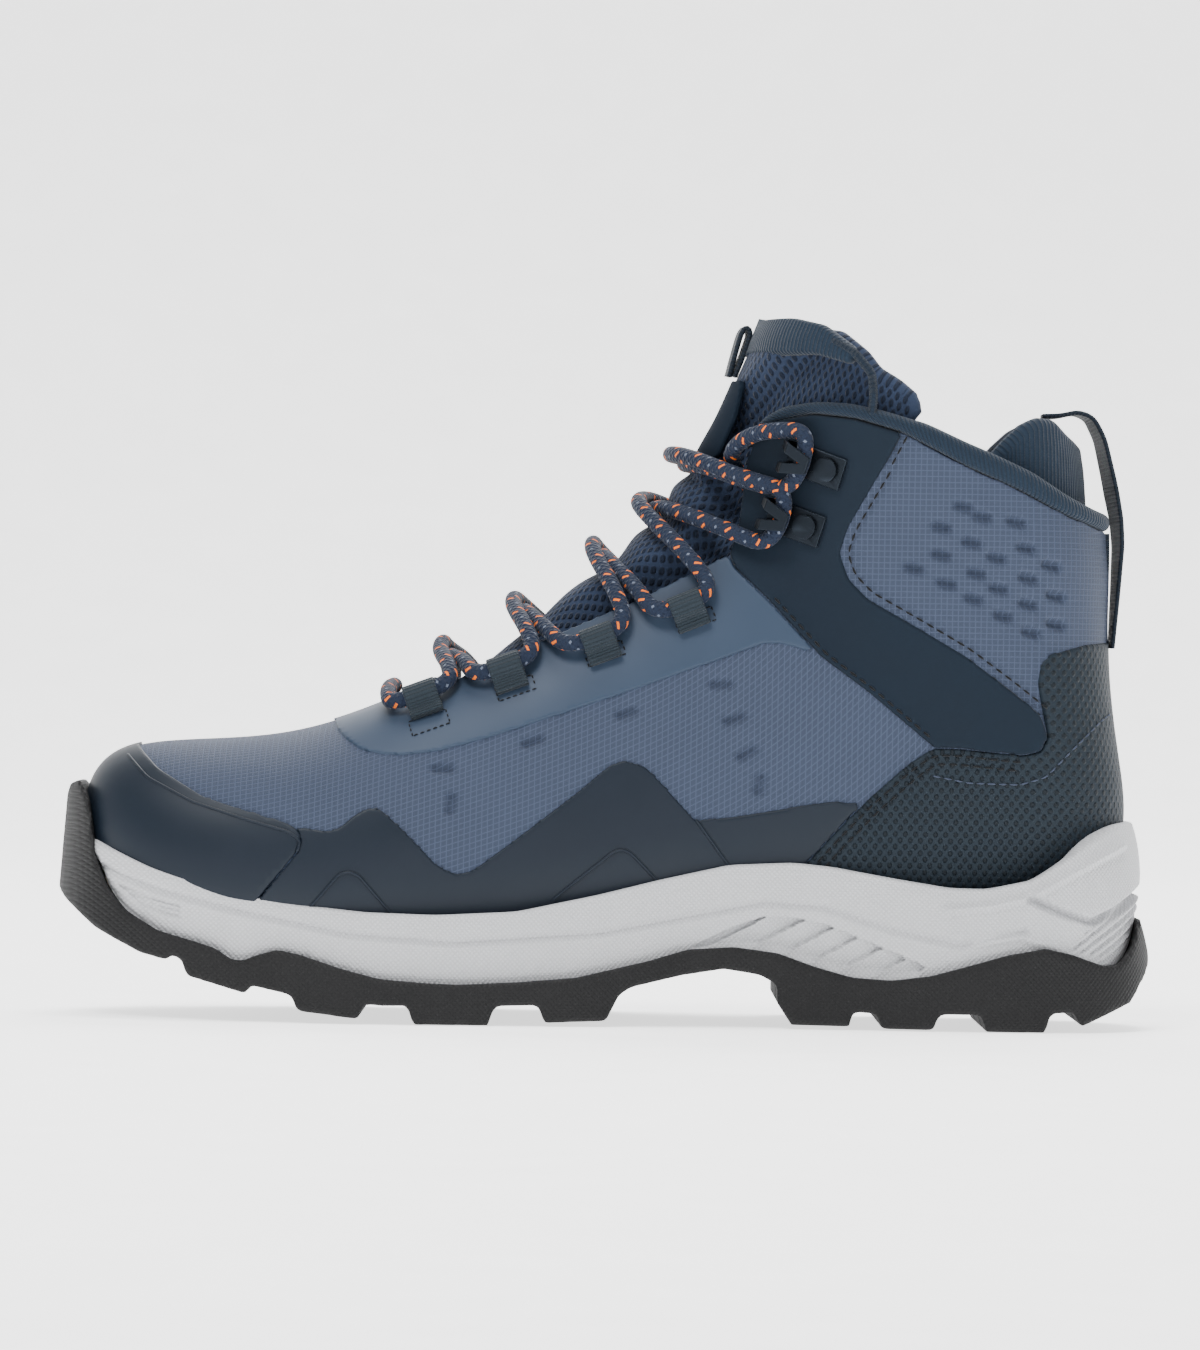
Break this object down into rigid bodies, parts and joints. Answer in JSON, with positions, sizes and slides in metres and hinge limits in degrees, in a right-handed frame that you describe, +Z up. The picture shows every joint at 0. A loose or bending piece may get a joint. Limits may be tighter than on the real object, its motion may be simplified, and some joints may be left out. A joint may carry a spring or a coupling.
{
  "type": "hiking boot",
  "caption": "Mid-height lace-up hiking boot for the right foot with film overlays, padded tongue, speed hooks, foam midsole and lugged rubber outsole.",
  "frame": {"origin": "on the ground under the middle of the boot's bounding box", "axes": "+X from toe to heel, -Y medial, +Y lateral, +Z up"},
  "size_m": [0.3077, 0.1144, 0.1975],
  "materials": {
    "outsole_rubber": "fine textured matt",
    "midsole_foam": "fine knurled matt foam",
    "shank_steel": "pressed",
    "board": "fibre board",
    "footbed_foam": "fabric covered foam",
    "stiffener": "thermoplastic sheet",
    "foam": "open cell foam",
    "ripstop": "ripstop weave with pressed dents",
    "toe_film": "welded film",
    "eyestay_film": "smooth welded film",
    "strap_microfibre": "microfibre",
    "heel_weave": "coarse weave",
    "lining_mesh": "spacer mesh",
    "knit": "knit",
    "pull_webbing": "herringbone webbing",
    "tongue_mesh": "open diamond mesh",
    "label_film": "smooth film",
    "loop_webbing": "ribbed webbing",
    "hook_metal": "dark satin coating",
    "rivet_metal": "dark satin coating",
    "lace_cord": "round braid with orange and grey flecks"
  },
  "bodies": {
    "boot": {"collar_binding": "knit", "eyestay": "eyestay_film", "heel_counter": "stiffener", "heel_pad": "knit", "heel_panel": "heel_weave", "heel_pull_strap": "pull_webbing", "hook_rivets": "rivet_metal", "insole_board": "board", "lace": "lace_cord", "lateral_ankle_strap": "strap_microfibre", "lateral_collar_panel": "ripstop", "lateral_foam": "foam", "lateral_hook_1": "hook_metal", "lateral_hook_2": "hook_metal", "lateral_lace_loop_1": "loop_webbing", "lateral_lace_loop_2": "loop_webbing", "lateral_lace_loop_3": "loop_webbing", "lateral_lace_loop_4": "loop_webbing", "lateral_lining": "lining_mesh", "lateral_quarter": "ripstop", "lateral_rand": "toe_film", "medial_ankle_strap": "strap_microfibre", "medial_collar_panel": "ripstop", "medial_foam": "foam", "medial_hook_1": "hook_metal", "medial_hook_2": "hook_metal", "medial_lace_loop_1": "loop_webbing", "medial_lace_loop_2": "loop_webbing", "medial_lace_loop_3": "loop_webbing", "medial_lace_loop_4": "loop_webbing", "medial_lining": "lining_mesh", "medial_quarter": "ripstop", "medial_rand": "toe_film", "midsole": "midsole_foam", "outsole": "outsole_rubber", "shank": "shank_steel", "toe_cap": "toe_film", "toe_puff": "stiffener", "tongue_base": "tongue_mesh", "vamp": "ripstop", "vamp_interlining": "stiffener", "vamp_lining": "lining_mesh"},
    "tongue": {"tongue": "tongue_mesh", "tongue_label": "label_film"},
    "tongue_tab": {"tongue_pull_tab": "pull_webbing"},
    "footbed": {"footbed": "footbed_foam"}
  },
  "joints": [
    {"name": "tongue_tilt", "type": "hinge", "parent": "boot", "child": "tongue", "pos_m": [-0.05, 0, 0.0845], "axis": [0, 1, 0], "range_deg": [0, 0.7]},
    {"name": "tab_swing", "type": "hinge", "parent": "tongue", "child": "tongue_tab", "pos_m": [0.0339, 0, 0.182], "axis": [0, 1, 0], "range_deg": [-60, 0]},
    {"name": "footbed_lift", "type": "slide", "parent": "boot", "child": "footbed", "axis": [0, 0, 1], "range_m": [0, 0.006]}
  ]
}
